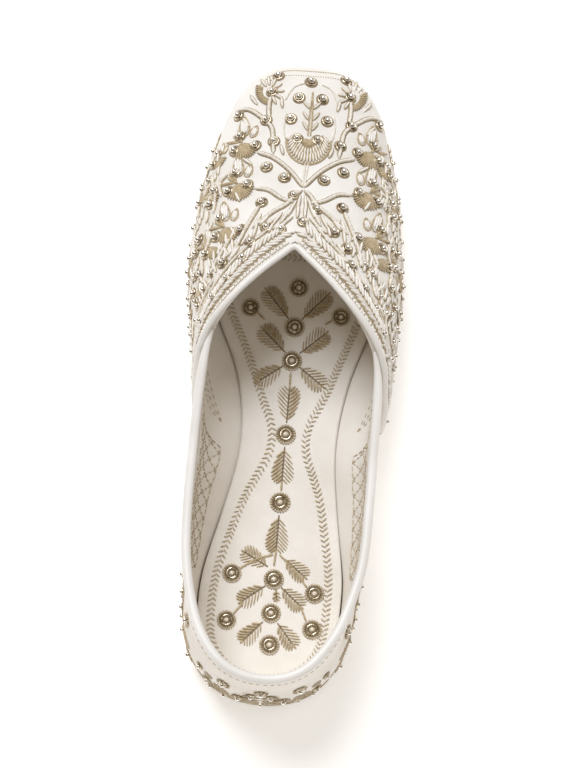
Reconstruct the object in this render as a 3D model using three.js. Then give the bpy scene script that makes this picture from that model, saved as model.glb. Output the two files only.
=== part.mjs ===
// A mojari, the flat South Asian slip-on: right foot, squared toe, pointed throat, soft rolled topline.
// Pieces: outsole, insole, upper (lining and quarters in one wall), embroidered vamp cover, topline binding
// and the piping along the vamp's edge. Millimetres, +Z up, toe towards +Y, outer side of the foot towards +X.
// The origin is on the floor under the middle of the shoe's box.
import * as THREE from "three";
import { mergeVertices } from "three/addons/utils/BufferGeometryUtils.js";

// Driving dimensions.
const soleLength = 250;
const soleThickness = 4;
const soleEdgeBevel = 0.6;
const soleLedge = 0.8; // the sole shows this far past the upper's lower edge
const toeSpring = 5;
const toeSpringFrom = 185;
const waistLift = 1.2;
const waistFrom = 72;
const waistTo = 132;
const gap = 0.3; // between pieces that touch

const liningWall = 1.5; // the upper's wall under the vamp
const quarterWall = 2.3; // and round the heel
const vampThickness = 1.1;
const vampGap = 0.45; // the vamp's own gap over the lining, as both are curved
const wingLift = 0.5; // the vamp's rear edge stands off the quarter
const insoleThickness = 3.2;
const insoleBevel = 1;

const pipingRadius = 1;
const bindingHalfWidth = 2;
const bindingHalfHeight = 1.7;
const bindingTaper = [0.45, 0.7, 0.92]; // shares of its section at its last stations, under the vamp's edge

// Ends of the plan outline: where each rounding starts, and how square it is.
const heelRound = 29;
const heelSquareness = 2.25;
const toeRound = 34;
const toeSquareness = 3.4;

// Half widths of the sole from the line through the middles of heel and toe.
const soleRows = [
  { at: 0, medial: 29.5, lateral: 29 },
  { at: 0.1, medial: 31, lateral: 30.5 },
  { at: 0.2, medial: 30.5, lateral: 31.5 },
  { at: 0.3, medial: 27.5, lateral: 31 },
  { at: 0.4, medial: 25, lateral: 31 },
  { at: 0.5, medial: 27.5, lateral: 34 },
  { at: 0.6, medial: 34, lateral: 38 },
  { at: 0.68, medial: 37, lateral: 39 },
  { at: 0.77, medial: 36, lateral: 37.5 },
  { at: 0.86, medial: 32.5, lateral: 34 },
  { at: 0.94, medial: 28, lateral: 30 },
  { at: 1, medial: 24.5, lateral: 26 },
];

// The wall above the sole's edge: how far it swells low down, how far out it has moved at collar height on
// each side, and how far the inside rounds in at the bottom over the sole.
const wallRows = [
  { at: 0, swell: 1.6, medial: -2.5, lateral: -2.5, tuck: 1.5 },
  { at: 0.06, swell: 1.8, medial: -3, lateral: -3, tuck: 1 },
  { at: 0.1, swell: 2, medial: -1.5, lateral: -1, tuck: 0.5 },
  { at: 0.15, swell: 2, medial: 1.5, lateral: 2, tuck: 0.5 },
  { at: 0.2, swell: 2, medial: 4.5, lateral: 5, tuck: 1 },
  { at: 0.3, swell: 2.4, medial: 9.5, lateral: 7.5, tuck: 5.5 },
  { at: 0.4, swell: 2.8, medial: 13, lateral: 9, tuck: 9 },
  { at: 0.5, swell: 3, medial: 11, lateral: 8, tuck: 8.5 },
  { at: 0.6, swell: 2.8, medial: 7, lateral: 5.5, tuck: 3.5 },
  { at: 0.7, swell: 2.6, medial: 4, lateral: 3.5, tuck: 2 },
  { at: 0.86, swell: 2, medial: 2, lateral: 2, tuck: 2 },
  { at: 0.96, swell: 0.8, medial: 0, lateral: 0, tuck: 1.5 },
  { at: 1, swell: 0.3, medial: 0, lateral: 0, tuck: 1.5 },
];

// The last's top line: its height over the floor and how full the section is under it (2 is an ellipse).
const ridgeRows = [
  { at: 0.15, height: 84, fullness: 5 },
  { at: 0.35, height: 80, fullness: 4 },
  { at: 0.5, height: 66, fullness: 3 },
  { at: 0.6, height: 55, fullness: 2.5 },
  { at: 0.7, height: 45.5, fullness: 2.3 },
  { at: 0.8, height: 34.5, fullness: 2.3 },
  { at: 0.88, height: 27.5, fullness: 2.4 },
  { at: 0.94, height: 24, fullness: 2.6 },
  { at: 1, height: 21.5, fullness: 2.8 },
];

// The quarter's top edge over the floor.
const toplineRows = [
  { at: 0, height: 51 },
  { at: 0.05, height: 50 },
  { at: 0.15, height: 45 },
  { at: 0.28, height: 40.5 },
  { at: 0.4, height: 39.5 },
  { at: 0.52, height: 42.5 },
  { at: 0.62, height: 47 },
];

// The vamp's rear edge, a pointed arch: how far along the shoe it lies at each angle round the foot, in
// degrees from straight up to the side.
const vampEdgeRows = [
  { at: 0, along: 0.688 },
  { at: 13, along: 0.653 },
  { at: 23, along: 0.618 },
  { at: 36, along: 0.561 },
  { at: 46, along: 0.515 },
  { at: 56, along: 0.475 },
  { at: 70, along: 0.434 },
  { at: 98, along: 0.385 },
];

const ridgeFront = 228;
const ridgeBack = 42;
const swellReach = 30;
const collarHeight = 42;
const wrapCentre = 8; // height of the axis that the vamp edge's angles turn about
const flareCurve = 1.15;
const tuckHeight = 13;

// Mesh density: columns along each side, those that reach the closed top of the toe, and rows up the wall.
const columns = 46;
const peakColumn = 14;
const wallSteps = 10;
const pipingSides = 8;
const bindingSides = 10;
const finestep = 1e-3;

// A column of a table as a smooth curve through its rows (cubic, with the slopes of neighbouring rows).
function curveOf(rows, name) {
  const slope = (i) => {
    const a = rows[Math.max(0, i - 1)];
    const b = rows[Math.min(rows.length - 1, i + 1)];
    return (b[name] - a[name]) / (b.at - a.at);
  };
  return (at) => {
    const x = THREE.MathUtils.clamp(at, rows[0].at, rows[rows.length - 1].at);
    const i = Math.max(0, Math.min(rows.length - 2, rows.findLastIndex((r) => r.at <= x)));
    const span = rows[i + 1].at - rows[i].at;
    const t = (x - rows[i].at) / span;
    const rise = t * t * (3 - 2 * t);
    const start = slope(i) * span * t * (1 - t) * (1 - t);
    const end = slope(i + 1) * span * t * t * (t - 1);
    return rows[i][name] * (1 - rise) + rows[i + 1][name] * rise + start + end;
  };
}

const soleHalf = { medial: curveOf(soleRows, "medial"), lateral: curveOf(soleRows, "lateral") };
const swellAt = curveOf(wallRows, "swell");
const flare = { medial: curveOf(wallRows, "medial"), lateral: curveOf(wallRows, "lateral") };
const tuckAt = curveOf(wallRows, "tuck");
const ridgeHeightAt = curveOf(ridgeRows, "height");
const fullnessAt = curveOf(ridgeRows, "fullness");
const toplineAt = curveOf(toplineRows, "height");
const vampEdgeAt = curveOf(vampEdgeRows, "along");
const throatPeak = vampEdgeRows[0].along * soleLength;

// How much of the half width is left at a distance y from the heel, where the two ends round off.
function endRounding(y) {
  const part = (distance, length, squareness) =>
    (1 - Math.max(0, 1 - distance / length) ** squareness) ** (1 / squareness);
  return part(y, heelRound, heelSquareness) * part(soleLength - y, toeRound, toeSquareness);
}

function soleBottom(y) {
  const spring = Math.max(0, (y - toeSpringFrom) / (soleLength - toeSpringFrom));
  const waist = THREE.MathUtils.clamp((y - waistFrom) / (waistTo - waistFrom), 0, 1);
  return toeSpring * spring ** 2 + waistLift * Math.sin(Math.PI * waist) ** 2;
}

const featherHeight = (y) => soleBottom(y) + soleThickness + gap;

// One side of the sole's outline from the middle of the toe to the middle of the heel, evenly spaced.
function sideOutline(side) {
  const sign = side === "lateral" ? 1 : -1;
  const dense = 240;
  const points = [];
  for (let i = 0; i <= dense; i++) {
    const y = (soleLength / 2) * (1 + Math.cos((Math.PI * i) / dense));
    points.push(new THREE.Vector2(sign * soleHalf[side](y / soleLength) * endRounding(y), y));
  }
  return new THREE.SplineCurve(points).getSpacedPoints(columns);
}

// The sole's outline as one ring: toe, along the lateral side to the heel, and back along the medial side.
function ringOutline() {
  const lateral = sideOutline("lateral");
  const medial = sideOutline("medial").reverse();
  return [...lateral.slice(0, -1), ...medial.slice(0, -1)];
}

const outline = ringOutline();
const ringCount = outline.length;
const ringIndex = (c) => (c + ringCount) % ringCount;
const rankOf = (c) => Math.min(ringIndex(c), ringCount - ringIndex(c)); // columns from the toe

const outlineNormals = outline.map((_, c) => {
  const along = outline[ringIndex(c + 1)].clone().sub(outline[ringIndex(c - 1)]);
  return new THREE.Vector2(along.y, -along.x).normalize().multiplyScalar(-1);
});

const planPoint = (c, outward) =>
  outline[ringIndex(c)].clone().addScaledVector(outlineNormals[ringIndex(c)], outward);

// Where a column meets the last's top line.
function ridgeAlong(rank) {
  if (rank <= peakColumn) {
    return THREE.MathUtils.lerp(ridgeFront, throatPeak, rank / peakColumn);
  }
  return THREE.MathUtils.lerp(throatPeak, ridgeBack, (rank - peakColumn) / (columns - peakColumn));
}

// A point on the last: column c round the shoe, v from 0 at the sole to 1 on the top line.
function lastPoint(c, v) {
  const foot = planPoint(c, -soleLedge);
  const ridgeY = ridgeAlong(rankOf(c));
  const at = foot.y / soleLength;
  const floor = featherHeight(foot.y);
  const power = 2 / fullnessAt(ridgeY / soleLength);
  const up = Math.sin((v * Math.PI) / 2) ** power;
  const inward = 1 - Math.max(0, Math.cos((v * Math.PI) / 2)) ** power;
  const topY = THREE.MathUtils.lerp(foot.y, ridgeY, inward);
  const rise = (ridgeHeightAt(topY / soleLength) - floor) * up;
  const swell = swellAt(at) * Math.sin(Math.PI * Math.min(1, rise / swellReach));
  const leanOut = flare[foot.x > 0 ? "lateral" : "medial"](at) * (rise / collarHeight) ** flareCurve;
  const plan = planPoint(c, swell + leanOut - soleLedge).lerp(new THREE.Vector2(0, ridgeY), inward);
  return new THREE.Vector3(plan.x, plan.y, floor + rise);
}

// The last's outward normal; on the top line it is the line's own, the same from either side.
function lastNormal(c, v) {
  if (v >= 1) {
    const y = ridgeAlong(rankOf(c));
    const slope = ridgeHeightAt((y + 1) / soleLength) - ridgeHeightAt((y - 1) / soleLength);
    return new THREE.Vector3(0, -slope, 2).normalize();
  }
  const low = Math.max(0, v - finestep);
  const high = Math.min(1, v + finestep);
  const up = lastPoint(c, high).sub(lastPoint(c, low));
  const across = lastPoint(c + 1, v).sub(lastPoint(c - 1, v));
  return up.cross(across).normalize();
}

// A point at a distance outside the last (inside it if negative), never below the sole's top.
function offsetPoint(c, v, distance, tuck = 0) {
  const point = lastPoint(c, v);
  const floor = featherHeight(outline[ringIndex(c)].y);
  const rounding = Math.max(0, 1 - (point.z - floor) / tuckHeight) ** 2;
  const inwards = outlineNormals[ringIndex(c)];
  point.addScaledVector(lastNormal(c, v), distance);
  point.x -= inwards.x * tuck * rounding;
  point.y -= inwards.y * tuck * rounding;
  point.z = v === 0 ? floor : Math.max(point.z, floor);
  if (v >= 1) {
    point.x = 0;
  }
  return point;
}

// The last v, going up, at which a column is still outside some region.
function climbUntil(c, inRegion) {
  let low = 0;
  let high = 1;
  for (let i = 0; i < 40; i++) {
    const middle = (low + high) / 2;
    if (inRegion(lastPoint(c, middle))) {
      high = middle;
    } else {
      low = middle;
    }
  }
  return high > 1 - 1e-6 ? 1 : low;
}

function behindVamp(p) {
  const wrap = THREE.MathUtils.radToDeg(Math.atan2(Math.abs(p.x), p.z - wrapCentre));
  return p.y < vampEdgeAt(wrap) * soleLength;
}

const inOpening = (p) => behindVamp(p) && p.z > toplineAt(p.y / soleLength);

const openingTop = outline.map((_, c) =>
  rankOf(c) <= peakColumn ? 1 : climbUntil(c, inOpening));
const wingTop = outline.map((_, c) =>
  rankOf(c) <= peakColumn ? 1 : climbUntil(c, behindVamp));
const onTopline = outline.map((_, c) => openingTop[c] > wingTop[c] + 1e-4);

// Triangle soup that is merged into one closed mesh.
class Skin {
  constructor() {
    this.positions = [];
  }

  triangle(a, b, c) {
    this.positions.push(...a.toArray(), ...b.toArray(), ...c.toArray());
  }

  quad(a, b, c, d) {
    this.triangle(a, b, c);
    this.triangle(a, c, d);
  }

  geometry() {
    const soup = new THREE.BufferGeometry();
    soup.setAttribute("position", new THREE.Float32BufferAttribute(this.positions, 3));
    const merged = mergeVertices(soup, 1e-3);
    const index = merged.index.array;
    const kept = [];
    for (let i = 0; i < index.length; i += 3) {
      const [a, b, c] = index.slice(i, i + 3);
      if (a !== b && b !== c && c !== a) {
        kept.push(a, b, c);
      }
    }
    merged.setIndex(kept);
    merged.computeVertexNormals();
    return merged;
  }
}

// Values of v from the sole up to a column's top, evenly spaced by the length of the section between them.
function stopsOf(c, top) {
  const dense = 160;
  const values = [0];
  const lengths = [0];
  for (let k = 1; k <= dense; k++) {
    values.push(top * (k / dense) ** 3);
    lengths.push(lengths[k - 1] + lastPoint(c, values[k]).distanceTo(lastPoint(c, values[k - 1])));
  }
  const stops = [0];
  for (let j = 1; j < wallSteps; j++) {
    const wanted = (lengths[dense] * j) / wallSteps;
    const k = lengths.findIndex((length) => length >= wanted);
    const t = (wanted - lengths[k - 1]) / (lengths[k] - lengths[k - 1]);
    stops.push(THREE.MathUtils.lerp(values[k - 1], values[k], t));
  }
  return [...stops, top];
}

// A wall between two distances from the last, from the sole up to top[c] on each column of a run.
function wallGeometry({ run, top, outside, inside, tuck, closedRing }) {
  const skin = new Skin();
  const steps = wallSteps;
  const grid = run.map((c) => {
    const stops = stopsOf(c, top[ringIndex(c)]);
    return {
      ridge: top[ringIndex(c)] >= 1,
      outer: stops.map((v) => offsetPoint(c, v, outside(c))),
      inner: stops.map((v) => offsetPoint(c, v, -inside(c), tuck(c))),
    };
  });
  const last = closedRing ? grid.length : grid.length - 1;
  for (let i = 0; i < last; i++) {
    const a = grid[i];
    const b = grid[(i + 1) % grid.length];
    for (let j = 0; j < steps; j++) {
      skin.quad(a.outer[j], a.outer[j + 1], b.outer[j + 1], b.outer[j]);
      skin.quad(a.inner[j], b.inner[j], b.inner[j + 1], a.inner[j + 1]);
    }
    skin.quad(a.outer[0], b.outer[0], b.inner[0], a.inner[0]);
    if (!(a.ridge && b.ridge)) {
      skin.quad(a.outer[steps], a.inner[steps], b.inner[steps], b.outer[steps]);
    }
  }
  if (!closedRing) {
    for (let j = 0; j < steps; j++) {
      const first = grid[0];
      const end = grid[grid.length - 1];
      skin.quad(first.outer[j], first.inner[j], first.inner[j + 1], first.outer[j + 1]);
      skin.quad(end.outer[j], end.outer[j + 1], end.inner[j + 1], end.inner[j]);
    }
  }
  return skin.geometry();
}

// Rings stacked from the bottom up, closed below and above by strips across the shoe.
function stackGeometry(rings) {
  const skin = new Skin();
  for (let level = 0; level < rings.length - 1; level++) {
    const low = rings[level];
    const high = rings[level + 1];
    for (let c = 0; c < ringCount; c++) {
      const d = ringIndex(c + 1);
      skin.quad(low[c], high[c], high[d], low[d]);
    }
  }
  const bottom = rings[0];
  const top = rings[rings.length - 1];
  for (let k = 0; k < columns; k++) {
    const a = k;
    const b = k + 1;
    const c = ringIndex(ringCount - b);
    const d = ringIndex(ringCount - a);
    skin.quad(bottom[a], bottom[b], bottom[c], bottom[d]);
    skin.quad(top[a], top[d], top[c], top[b]);
  }
  return skin.geometry();
}

// A round bead of material along stations, each with a centre and the two directions of its section.
function sweepGeometry(stations, sides, halfWidth, halfHeight) {
  const skin = new Skin();
  const rings = stations.map(({ centre, side, up }) =>
    Array.from({ length: sides }, (_, i) => {
      const angle = (2 * Math.PI * i) / sides;
      return centre.clone()
        .addScaledVector(side, halfWidth * Math.cos(angle))
        .addScaledVector(up, halfHeight * Math.sin(angle));
    }));
  for (let s = 0; s < rings.length - 1; s++) {
    for (let i = 0; i < sides; i++) {
      const j = (i + 1) % sides;
      skin.quad(rings[s][i], rings[s + 1][i], rings[s + 1][j], rings[s][j]);
    }
  }
  const end = rings[rings.length - 1];
  for (let i = 1; i < sides - 1; i++) {
    skin.triangle(rings[0][0], rings[0][i], rings[0][i + 1]);
    skin.triangle(end[0], end[i + 1], end[i]);
  }
  return skin.geometry();
}

function outsoleGeometry() {
  const ring = (outward, height) =>
    outline.map((_, c) => {
      const plan = planPoint(c, outward);
      return new THREE.Vector3(plan.x, plan.y, soleBottom(outline[c].y) + height);
    });
  return stackGeometry([
    ring(-soleEdgeBevel, 0),
    ring(0, soleEdgeBevel),
    ring(0, soleThickness - soleEdgeBevel / 2),
    ring(-soleEdgeBevel / 2, soleThickness),
  ]);
}

// The upper's wall is thicker round the quarters than under the vamp.
function upperWall(c) {
  const blend = THREE.MathUtils.smoothstep(rankOf(c), peakColumn, peakColumn + 8);
  return THREE.MathUtils.lerp(liningWall, quarterWall, blend);
}

const upperTuck = (c) => tuckAt(outline[ringIndex(c)].y / soleLength);

function upperGeometry() {
  return wallGeometry({
    run: outline.map((_, c) => c),
    top: openingTop,
    outside: () => 0,
    inside: upperWall,
    tuck: upperTuck,
    closedRing: true,
  });
}

// The columns that the vamp covers, from its medial wing tip over the toe to its lateral one.
function vampRun() {
  const covered = (c) => wingTop[ringIndex(c)] > 0.02;
  let reach = peakColumn;
  while (covered(reach + 1)) {
    reach += 1;
  }
  return Array.from({ length: 2 * reach + 1 }, (_, i) => i - reach);
}

// How far the vamp has lifted off the quarter, growing towards its rear edge.
function wingStandOff(c) {
  const reach = vampRun().length / 2;
  return wingLift * THREE.MathUtils.smoothstep(rankOf(c), peakColumn + 6, reach);
}

function vampGeometry() {
  return wallGeometry({
    run: vampRun(),
    top: wingTop,
    outside: (c) => vampGap + wingStandOff(c) + vampThickness,
    inside: (c) => -vampGap - wingStandOff(c),
    tuck: () => 0,
    closedRing: false,
  });
}

// The insole fills the inside of the upper at its own height, bevelled at its top edge.
function insoleGeometry() {
  const walls = outline.map((_, c) =>
    stopsOf(c, openingTop[c]).map((v) => offsetPoint(c, v, -upperWall(c), upperTuck(c))));
  const ring = (height, inset) =>
    walls.map((wall, c) => {
      const z = featherHeight(outline[c].y) + height;
      const above = Math.max(1, wall.findIndex((p) => p.z > z));
      const low = wall[above - 1];
      const t = THREE.MathUtils.clamp((z - low.z) / (wall[above].z - low.z), 0, 1);
      const point = low.clone().lerp(wall[above], t);
      const inward = outlineNormals[c];
      return new THREE.Vector3(point.x - inward.x * inset, point.y - inward.y * inset, z);
    });
  return stackGeometry([
    ring(0, gap),
    ring(insoleThickness - insoleBevel, gap + insoleBevel / 2),
    ring(insoleThickness, gap + insoleBevel * 1.5),
  ]);
}

// The topline binding rides on the quarter's edge, from one side of the vamp round the heel to the other, and
// thins out at both ends where the vamp's edge comes over it.
function bindingGeometry() {
  const first = onTopline.findIndex((free) => free) - 1;
  const last = onTopline.findLastIndex((free) => free) + 1;
  const stations = [];
  for (let c = last; c >= first; c--) {
    const v = openingTop[ringIndex(c)];
    const size = bindingTaper[Math.min(c - first, last - c)] ?? 1;
    const outer = offsetPoint(c, v, 0);
    const inner = offsetPoint(c, v, -upperWall(c));
    const side = outer.clone().sub(inner).normalize();
    const up = lastPoint(c, v).sub(lastPoint(c, v - finestep)).normalize();
    const centre = outer.clone().lerp(inner, 0.5).addScaledVector(up, gap + bindingHalfHeight * size);
    side.multiplyScalar(size);
    up.multiplyScalar(size);
    stations.push({ centre, side, up });
  }
  return sweepGeometry(stations, bindingSides, bindingHalfWidth, bindingHalfHeight);
}

// The piping lies against the vamp's edge, outside it, from one wing tip over the throat to the other.
function pipingGeometry() {
  const run = vampRun().filter((c) => rankOf(c) >= peakColumn);
  const edge = (c) => {
    const v = wingTop[ringIndex(c)];
    const lift = gap + wingStandOff(c) + pipingRadius;
    return offsetPoint(c, v, lift);
  };
  const medial = run.filter((c) => c < 0);
  const lateral = run.filter((c) => c > peakColumn);
  const path = [...medial, ...lateral];
  const stations = path.map((c, i) => {
    const before = edge(path[Math.max(0, i - 1)]);
    const after = edge(path[Math.min(path.length - 1, i + 1)]);
    const up = lastNormal(c, wingTop[ringIndex(c)]);
    const side = after.sub(before).normalize().cross(up).normalize();
    return { centre: edge(c).addScaledVector(side, gap + pipingRadius), side, up };
  });
  return sweepGeometry(stations, pipingSides, pipingRadius, pipingRadius);
}

const finishes = {
  soleLeather: { color: 0xb08a5e, roughness: 0.65, metalness: 0 },
  ivoryLining: { color: 0xe9e3d8, roughness: 0.8, metalness: 0 },
  ivorySilk: { color: 0xebe7de, roughness: 0.75, metalness: 0 },
  whitePiping: { color: 0xf3f0ea, roughness: 0.55, metalness: 0 },
};

function piece(name, geometry, finish) {
  const mesh = new THREE.Mesh(geometry, new THREE.MeshStandardMaterial(finish));
  mesh.name = name;
  return mesh;
}

const shoe = new THREE.Group();
shoe.add(piece("outsole", outsoleGeometry(), finishes.soleLeather));
shoe.add(piece("insole", insoleGeometry(), finishes.ivorySilk));
shoe.add(piece("upper", upperGeometry(), finishes.ivoryLining));
shoe.add(piece("vamp", vampGeometry(), finishes.ivorySilk));
shoe.add(piece("topline_binding", bindingGeometry(), finishes.whitePiping));
shoe.add(piece("vamp_piping", pipingGeometry(), finishes.whitePiping));

// The shoe's own box sets the origin: its middle in plan, and the floor.
const box = new THREE.Box3().setFromObject(shoe);
const middle = box.getCenter(new THREE.Vector3());
shoe.position.set(-middle.x, -middle.y, -box.min.z);

export default shoe;
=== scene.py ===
import math

import bpy
import numpy as np
from mathutils import Matrix, Vector
from mathutils.bvhtree import BVHTree


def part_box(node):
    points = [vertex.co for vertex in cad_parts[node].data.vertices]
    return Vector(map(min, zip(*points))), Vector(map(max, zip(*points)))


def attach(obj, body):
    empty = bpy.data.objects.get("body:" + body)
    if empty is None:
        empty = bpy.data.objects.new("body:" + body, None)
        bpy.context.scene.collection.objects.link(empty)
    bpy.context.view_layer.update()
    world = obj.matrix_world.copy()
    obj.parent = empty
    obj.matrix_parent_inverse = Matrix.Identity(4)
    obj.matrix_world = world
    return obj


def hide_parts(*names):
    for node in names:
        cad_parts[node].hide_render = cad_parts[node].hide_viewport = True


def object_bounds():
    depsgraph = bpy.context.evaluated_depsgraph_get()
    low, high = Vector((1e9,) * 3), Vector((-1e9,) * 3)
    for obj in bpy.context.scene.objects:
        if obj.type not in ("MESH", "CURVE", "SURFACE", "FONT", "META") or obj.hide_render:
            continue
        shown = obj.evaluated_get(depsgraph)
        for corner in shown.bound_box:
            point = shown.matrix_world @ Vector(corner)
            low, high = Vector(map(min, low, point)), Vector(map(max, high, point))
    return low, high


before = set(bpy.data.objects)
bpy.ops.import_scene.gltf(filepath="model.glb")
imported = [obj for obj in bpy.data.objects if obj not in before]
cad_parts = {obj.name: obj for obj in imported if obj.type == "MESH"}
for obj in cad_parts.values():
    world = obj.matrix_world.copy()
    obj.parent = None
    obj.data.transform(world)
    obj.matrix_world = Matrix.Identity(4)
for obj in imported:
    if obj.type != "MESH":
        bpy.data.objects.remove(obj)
cadBox = [list(corner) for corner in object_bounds()]

# Everything below is worked out in millimetres and scaled by mm as it becomes a Blender mesh.
mm = 0.001
heelBack = cadBox[0][1] / mm  # where the heel's back lies on Y, the start of every "along"
middleX = -1.6  # the line through the middles of heel and toe, as the box is wider on the outer side
print("frame loaded")


# --- small tools

def makeActive(obj):
    bpy.ops.object.select_all(action="DESELECT")
    obj.select_set(True)
    bpy.context.view_layer.objects.active = obj


def copyNode(name, newName):
    # A CAD node's mesh is loose triangles, so the copy is welded and its quads are put back together.
    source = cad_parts[name]
    obj = bpy.data.objects.new(newName, source.data.copy())
    obj.data.name = newName
    obj.data.materials.clear()
    bpy.context.collection.objects.link(obj)
    obj.matrix_world = source.matrix_world.copy()
    makeActive(obj)
    bpy.ops.object.mode_set(mode="EDIT")
    bpy.ops.mesh.select_all(action="SELECT")
    bpy.ops.mesh.remove_doubles(threshold=0.002 * mm)
    bpy.ops.mesh.tris_convert_to_quads(face_threshold=math.radians(60), shape_threshold=math.radians(120))
    bpy.ops.object.mode_set(mode="OBJECT")
    return obj


def smoothShade(obj):
    makeActive(obj)
    bpy.ops.object.shade_smooth()


def refine(obj, levels, sharp, crease):
    # subdivided; edges sharper than so many degrees are held by a crease
    makeActive(obj)
    if sharp:
        bpy.ops.object.mode_set(mode="EDIT")
        bpy.ops.mesh.select_mode(type="EDGE")
        bpy.ops.mesh.select_all(action="DESELECT")
        bpy.ops.mesh.edges_select_sharp(sharpness=math.radians(sharp))
        bpy.ops.transform.edge_crease(value=crease)
        bpy.ops.object.mode_set(mode="OBJECT")
    modifier = obj.modifiers.new("Subdivision", "SUBSURF")
    modifier.levels = modifier.render_levels = levels
    bpy.ops.object.modifier_apply(modifier=modifier.name)


def pointsOf(obj):
    points = np.empty(len(obj.data.vertices) * 3)
    obj.data.vertices.foreach_get("co", points)
    return points.reshape(-1, 3) / mm


def setPoints(obj, points):
    obj.data.vertices.foreach_set("co", (points * mm).ravel())
    obj.data.update()


def normalsOf(obj):
    normals = np.empty(len(obj.data.vertices) * 3)
    obj.data.vertex_normals.foreach_get("vector", normals)
    return normals.reshape(-1, 3)


def treeOf(*objects):
    points = []
    faces = []
    for obj in objects:
        start = len(points)
        points += [Vector(point) for point in pointsOf(obj)]
        faces += [tuple(start + i for i in polygon.vertices) for polygon in obj.data.polygons]
    return BVHTree.FromPolygons(points, faces)


def tone(hexColour, alpha=1.0):
    # sRGB hex to the linear colour that a socket takes
    channels = [int(hexColour[i:i + 2], 16) / 255 for i in (1, 3, 5)]
    linear = [c / 12.92 if c <= 0.04045 else ((c + 0.055) / 1.055) ** 2.4 for c in channels]
    return (*linear, alpha)


def rowValue(rows, at):
    # A table of (at, value) rows as a smooth curve, with the slopes of neighbouring rows.
    at = min(max(at, rows[0][0]), rows[-1][0])
    i = max(k for k in range(len(rows) - 1) if rows[k][0] <= at)

    def slope(k):
        low, high = rows[max(0, k - 1)], rows[min(len(rows) - 1, k + 1)]
        return (high[1] - low[1]) / (high[0] - low[0])

    span = rows[i + 1][0] - rows[i][0]
    t = (at - rows[i][0]) / span
    rise = t * t * (3 - 2 * t)
    bend = slope(i) * span * t * (1 - t) ** 2 + slope(i + 1) * span * t * t * (t - 1)
    return rows[i][1] * (1 - rise) + rows[i + 1][1] * rise + bend


# --- materials

def addNode(tree, kind, values=None, links=None, **settings):
    new = tree.nodes.new(kind)
    for key, value in settings.items():
        setattr(new, key, value)
    for socket, value in (values or {}).items():
        new.inputs[socket].default_value = value
    for socket, source in (links or {}).items():
        tree.links.new(source, new.inputs[socket])
    return new


def newMaterial(name, colour, roughness, **sockets):
    material = bpy.data.materials.new(name)
    material.use_nodes = True
    tree = material.node_tree
    shader = tree.nodes["Principled BSDF"]
    shader.inputs["Base Color"].default_value = tone(colour)
    shader.inputs["Roughness"].default_value = roughness
    for socket, value in sockets.items():
        shader.inputs[socket.replace("_", " ")].default_value = value
    return material, tree, shader


def noise(tree, place, scale, detail):
    return addNode(tree, "ShaderNodeTexNoise", {"Scale": scale, "Detail": detail},
                   {"Vector": place}).outputs["Fac"]


def mottled(name, darker, lighter, roughness, scale, low=0.35, high=0.65, **sockets):
    # a material that changes slowly between two close tones
    material, tree, shader = newMaterial(name, lighter, roughness, **sockets)
    place = addNode(tree, "ShaderNodeTexCoord").outputs["Object"]
    ramp = addNode(tree, "ShaderNodeValToRGB", links={"Fac": noise(tree, place, scale, 4.0)})
    for stop, position, colour in zip(ramp.color_ramp.elements, (low, high), (darker, lighter)):
        stop.position = position
        stop.color = tone(colour)
    tree.links.new(ramp.outputs["Color"], shader.inputs["Base Color"])
    return material, tree, shader, place


def roughen(tree, shader, *layers):
    # bumps laid over one another: what drives each, its strength and its depth in mm
    links = {}
    for height, strength, depth in layers:
        bump = addNode(tree, "ShaderNodeBump", {"Strength": strength, "Distance": depth * mm},
                       {"Height": height, **links})
        links = {"Normal": bump.outputs["Normal"]}
    tree.links.new(links["Normal"], shader.inputs["Normal"])


def silkMaterial(name, darker, lighter, roughness, threadSpacing):
    # dupion silk: a plain weave, slightly puckered by the embroidery
    material, tree, shader, place = mottled(name, darker, lighter, roughness, 60,
                                            Sheen_Weight=0.25, Sheen_Roughness=0.4)
    waves = {"Scale": 1 / (threadSpacing * mm) / 6.28, "Distortion": 1.2, "Detail": 1.0}
    threads = [addNode(tree, "ShaderNodeTexWave", waves, {"Vector": place}, bands_direction=direction)
               for direction in ("X", "Y")]
    weave = addNode(tree, "ShaderNodeMath", links={i: threads[i].outputs["Fac"] for i in (0, 1)},
                    operation="MULTIPLY")
    roughen(tree, shader, (weave.outputs[0], 0.25, 0.08), (noise(tree, place, 190.0, 2.0), 0.5, 0.5))
    return material


def leatherMaterial(name, darker, lighter, roughness, grain, depth, **sockets):
    # drum-dyed leather: pebbled grain from a cell pattern, mottled by the dye
    material, tree, shader, place = mottled(name, darker, lighter, roughness, 45, **sockets)
    cells = addNode(tree, "ShaderNodeTexVoronoi", {"Scale": 1 / (grain * mm)}, {"Vector": place},
                    feature="SMOOTH_F1")
    roughen(tree, shader, (cells.outputs["Distance"], 0.35, depth),
            (noise(tree, place, 110.0, 2.0), 0.4, 0.5))
    return material


def threadMaterial(name, darker, lighter, roughness):
    # twisted viscose thread: satin gloss broken by its ply
    material, tree, shader, place = mottled(name, darker, lighter, roughness, 900, 0.3, 0.7, Sheen_Weight=0.3)
    roughen(tree, shader, (noise(tree, place, 2200.0, 1.0), 0.4, 0.15))
    return material


def metalMaterial(name, darker, lighter, roughness):
    # drawn and coiled wire, its tone mottled at random between tarnished and bright
    return mottled(name, darker, lighter, roughness, 700, 0.35, 0.6, Metallic=1.0)[0]


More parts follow.
